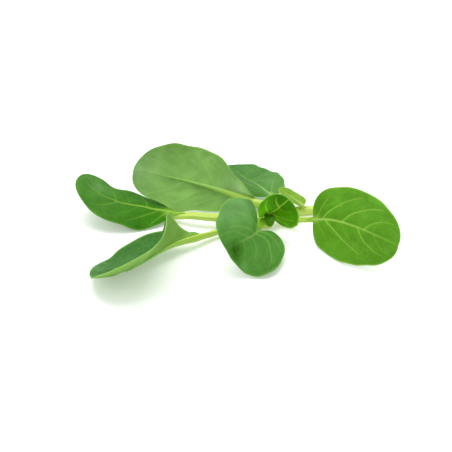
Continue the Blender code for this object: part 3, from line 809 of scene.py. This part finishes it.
# %% Shape the stem
STEM_LINE = [(10.0, 1.0, 2.4), (0.0, 0.0, 2.3), (-6.0, -4.0, 4.0), (-11.0, -10.0, 6.2), (-16.2, -15.2, 8.0)]
STEM_RADIUS = [2.5, 2.6, 2.6, 3.1, 3.0]
STEM_RINGS, STEM_SIDES = 70, 72
DOME = np.radians(np.arange(8, 90, 9))  # angles of the dome's rings
CUT_SIZE = np.array([0.04, 0.2, 0.42, 0.62, 0.8, 0.94])  # the cut's rings as shares of the radius,
CUT_DEPTH = np.array([0.25, 0.1, 0.02, 0.12, 0.02, -0.04])  # and how deep they lie in mm
DOME_PATH = 3  # mm of flat map that the dome takes


def stem_piece():
    """Rings along the line: radius * (1 + small ribs), never under the table. The dome's rings shrink as a cosine
    while they move on as a sine, and the cut's rings shrink in its plane, the middle ones a little sunk."""
    line = np.array(STEM_LINE)
    knots = np.concatenate([[0], np.cumsum(np.linalg.norm(np.diff(line, axis=0), axis=1))])
    at = np.linspace(0, knots[-1], STEM_RINGS)
    middle = np.stack([through(knots, line[:, k], at) for k in range(3)], -1)
    radius = through(knots, STEM_RADIUS, at)
    along = np.gradient(middle, at, axis=0)
    along /= np.linalg.norm(along, axis=1)[:, None]
    middle = np.vstack([middle[0] + CUT_DEPTH[:, None] * along[0], middle,
                        middle[-1] + radius[-1] * np.sin(DOME)[:, None] * along[-1]])
    radius = np.concatenate([radius[0] * CUT_SIZE, radius, radius[-1] * np.cos(DOME)])
    along = np.vstack([np.repeat(along[:1], len(CUT_SIZE), 0), along, np.repeat(along[-1:], len(DOME), 0)])
    side = np.cross(along, (0, 0, 1))
    side /= np.linalg.norm(side, axis=1)[:, None]
    up = np.cross(side, along)
    turn = np.linspace(0, 2 * pi, STEM_SIDES, endpoint=False)
    ribs = 1 + 0.022 * np.cos(11 * turn) + 0.012 * np.cos(5 * turn + 1)
    ring = np.cos(turn)[:, None] * side[:, None] + np.sin(turn)[:, None] * up[:, None]
    rings = middle[:, None] + (radius[:, None] * ribs)[..., None] * ring
    rings[..., 2] = np.maximum(rings[..., 2], 0)
    # the middle of the cut takes the softer colour of a stalk's back
    face = np.concatenate([CUT_SIZE, np.ones(len(rings) - len(CUT_SIZE))])
    face = np.concatenate([np.repeat(face, STEM_SIDES), [0, 1]])
    path = np.concatenate([np.zeros(len(CUT_SIZE)), at, knots[-1] + DOME_PATH * np.sin(DOME)])
    return skin_of_rings("stem_skin", rings, path, 8 * turn / pi, {"face": face}, STEM_MAP, turned=True)


# %% The stem and its material
stem = stem_piece()
stem.data.materials.append(stalk_skin("stem_skin_pale", "#bcd45c", "#b0cc4c", "#d4e28c"))
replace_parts(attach(stem, "root"), "stem")

# %% [markdown]
# ## Table, light and camera
# The plant lies on a glossy white board, which shows soft green reflections under the leaves. A little light comes
# up through the board, as on a light table, and keeps the shadows pale. A large soft box hangs above and a little
# behind, a weaker one stands at the left, and the world's light stands for white walls all round.

# %% Table
bpy.ops.mesh.primitive_plane_add(size=6)
table = bpy.context.object
table.name = "white_board"
board = bpy.data.materials.new("acrylic_white_gloss")
board.use_nodes = True
acrylic = board.node_tree.nodes["Principled BSDF"]
for key, value in {"Base Color": linear("#f4f5f4"), "Roughness": 0.22, "IOR": 1.49,
                   "Emission Color": (1, 1, 1, 1), "Emission Strength": 0.2}.items():
    acrylic.inputs[key].default_value = value
table.data.materials.append(board)

# %% Lights
world = bpy.data.worlds.new("white_studio")
world.use_nodes = True
walls = world.node_tree.nodes["Background"]
walls.inputs["Color"].default_value = (1, 1, 1, 1)
walls.inputs["Strength"].default_value = 0.78
scene.world = world


def soft_box(name, place, aim, size, power):
    """A square area light that points from place towards aim."""
    lamp = bpy.data.lights.new(name, "AREA")
    lamp.shape, lamp.size, lamp.energy = "SQUARE", size, power
    box = bpy.data.objects.new(name, lamp)
    box.location = place
    box.rotation_euler = (Vector(aim) - Vector(place)).to_track_quat("-Z", "Y").to_euler()
    scene.collection.objects.link(box)


soft_box("top_box", (-0.1, 0.25, 0.95), (-0.04, -0.01, 0), 0.9, 8.5)
soft_box("left_box", (-0.9, -0.5, 0.6), (-0.04, -0.01, 0.01), 0.6, 2.0)

# %% Camera
# The camera looks down by 30 degrees from 0.9 m away, and a long lens keeps the near and far leaves in scale.
AWAY, DOWN = 0.9, pi / 6
lens = bpy.data.cameras.new("camera")
lens.lens, lens.sensor_width = 135.25, 36
camera = bpy.data.objects.new("camera", lens)
camera.location = (-0.039, -0.012 - AWAY * np.cos(DOWN), AWAY * np.sin(DOWN))
camera.rotation_euler = (pi / 2 - DOWN, 0, 0)
scene.collection.objects.link(camera)
scene.camera = camera
scene.view_settings.view_transform = "Standard"
